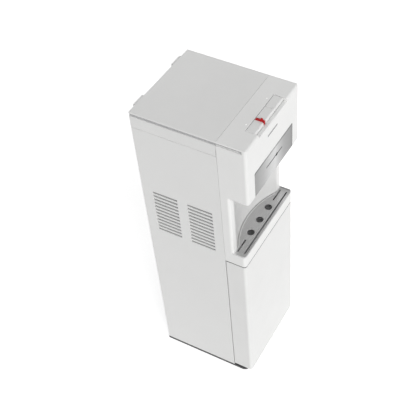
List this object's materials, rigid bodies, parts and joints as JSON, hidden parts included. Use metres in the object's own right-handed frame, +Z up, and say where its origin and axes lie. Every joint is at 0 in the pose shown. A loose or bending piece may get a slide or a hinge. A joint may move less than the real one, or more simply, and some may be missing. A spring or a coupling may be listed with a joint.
{
  "type": "water dispenser",
  "caption": "Floor-standing white water dispenser with push keys, an open alcove with a drip tray, a tall storage door and a lid over the bottle well.",
  "frame": {"origin": "on the floor under the middle of the plan", "axes": "+Z up, -Y towards the person in front of the taps, +X to that person's right"},
  "size_m": [0.302, 0.356, 1.0467],
  "materials": {
    "white_plastic": "satin white moulding",
    "white_panel": "satin white panel",
    "inner_plastic": "plain white moulding",
    "panel_metal": "brushed sideways, grey",
    "grille_metal": "fine brushed",
    "tray_plastic": "dark grey moulding",
    "dark_plastic": "dark grey moulding",
    "mark_dark": "dark window",
    "lamp_clear": "smoked light pipe",
    "lock_red": "red, satin",
    "black_rubber": "matt",
    "soft_tube": "milky, food-grade tube",
    "board_green": "circuit board",
    "bright_steel": "zinc plated",
    "sheet_steel": "grey coated sheet",
    "tank_plastic": "food-grade tank moulding",
    "foam_jacket": "moulded foam",
    "black_metal": "black enamel",
    "copper": "copper tube"
  },
  "bodies": {
    "cabinet": {"front_housing": "white_plastic", "side_panel_left": "white_panel", "side_panel_right": "white_panel", "vent_louvres_left": "white_panel", "vent_louvres_right": "white_panel", "faucet_plate": "inner_plastic", "faucet_hot": "inner_plastic", "faucet_room": "inner_plastic", "faucet_cold": "inner_plastic", "cabinet_liner": "inner_plastic", "well_deck": "inner_plastic", "bottle_probe": "inner_plastic", "switch_frames": "inner_plastic", "control_panel": "panel_metal", "base_tray": "dark_plastic", "drain_plug": "dark_plastic", "cord_gland": "dark_plastic", "catch_block": "dark_plastic", "electrics_box": "dark_plastic", "status_marks": "mark_dark", "status_lamps": "lamp_clear", "rubber_feet": "black_rubber", "compressor_mounts": "black_rubber", "bottle_pads": "black_rubber", "water_lines": "soft_tube", "control_board": "board_green", "key_pivot_pin": "bright_steel", "lid_hinge_pins": "bright_steel", "door_hinge_pins": "bright_steel", "panel_screws": "bright_steel", "heater": "bright_steel", "thermostats": "bright_steel", "panel_clips": "bright_steel", "back_panel": "sheet_steel", "mid_shelf": "sheet_steel", "lid_hinge_brackets": "sheet_steel", "cold_tank": "tank_plastic", "tank_stand": "tank_plastic", "tank_insulation": "foam_jacket", "hot_tank": "foam_jacket", "compressor": "black_metal", "condenser": "black_metal", "refrigerant_line": "copper", "filter_drier": "copper"},
    "lid": {"lid": "white_plastic"},
    "door": {"door_shell": "white_plastic", "door_liner": "inner_plastic", "door_gasket": "black_rubber", "door_strike": "bright_steel"},
    "hot_key": {"key_hot": "white_plastic"},
    "room_key": {"key_room": "white_plastic"},
    "cold_key": {"key_cold": "white_plastic"},
    "lock_slide": {"child_lock": "lock_red"},
    "hot_rod": {"push_rod_hot": "inner_plastic"},
    "room_rod": {"push_rod_room": "inner_plastic"},
    "cold_rod": {"push_rod_cold": "inner_plastic"},
    "tray": {"drip_tray": "tray_plastic"},
    "grille": {"drip_grille": "grille_metal"},
    "hot_rocker": {"hot_switch": "lock_red"},
    "cold_rocker": {"cold_switch": "dark_plastic"}
  },
  "joints": [
    {"name": "lid_hinge", "type": "hinge", "parent": "cabinet", "child": "lid", "pos_m": [0, 0.1725, 1.016], "axis": [-1, 0, 0], "range_deg": [0, 95]},
    {"name": "door_hinge", "type": "hinge", "parent": "cabinet", "child": "door", "pos_m": [0.1455, -0.0984, 0.29], "axis": [0, 0, 1], "range_deg": [0, 110]},
    {"name": "hot_key_pivot", "type": "hinge", "parent": "cabinet", "child": "hot_key", "pos_m": [0, -0.134, 1.03], "axis": [1, 0, 0], "range_deg": [0, 7], "stiffness_Nm_per_rad": 0.2, "springref_deg": -11.46},
    {"name": "room_key_pivot", "type": "hinge", "parent": "cabinet", "child": "room_key", "pos_m": [0, -0.134, 1.03], "axis": [1, 0, 0], "range_deg": [0, 7], "stiffness_Nm_per_rad": 0.2, "springref_deg": -11.46},
    {"name": "cold_key_pivot", "type": "hinge", "parent": "cabinet", "child": "cold_key", "pos_m": [0, -0.134, 1.03], "axis": [1, 0, 0], "range_deg": [0, 7], "stiffness_Nm_per_rad": 0.2, "springref_deg": -11.46},
    {"name": "lock_slide_y", "type": "slide", "parent": "hot_key", "child": "lock_slide", "axis": [0, 1, 0], "range_m": [0, 0.002]},
    {"name": "hot_rod_slide", "type": "slide", "parent": "cabinet", "child": "hot_rod", "axis": [0, 0, -1], "range_m": [0, 0.00196]},
    {"name": "room_rod_slide", "type": "slide", "parent": "cabinet", "child": "room_rod", "axis": [0, 0, -1], "range_m": [0, 0.00196]},
    {"name": "cold_rod_slide", "type": "slide", "parent": "cabinet", "child": "cold_rod", "axis": [0, 0, -1], "range_m": [0, 0.00196]},
    {"name": "tray_lift", "type": "slide", "parent": "cabinet", "child": "tray", "axis": [0, 0, 1], "range_m": [0, 0.06]},
    {"name": "grille_lift", "type": "slide", "parent": "tray", "child": "grille", "axis": [0, 0, 1], "range_m": [0, 0.03]},
    {"name": "hot_rocker_pivot", "type": "hinge", "parent": "cabinet", "child": "hot_rocker", "pos_m": [-0.104, 0.158, 0.94], "axis": [-1, 0, 0], "range_deg": [0, 16]},
    {"name": "cold_rocker_pivot", "type": "hinge", "parent": "cabinet", "child": "cold_rocker", "pos_m": [-0.074, 0.158, 0.94], "axis": [-1, 0, 0], "range_deg": [0, 16]}
  ],
  "couplings": [
    {"joint": "hot_rod_slide", "follows": "hot_key_pivot", "m_per_rad": 0.016},
    {"joint": "room_rod_slide", "follows": "room_key_pivot", "m_per_rad": 0.016},
    {"joint": "cold_rod_slide", "follows": "cold_key_pivot", "m_per_rad": 0.016}
  ]
}
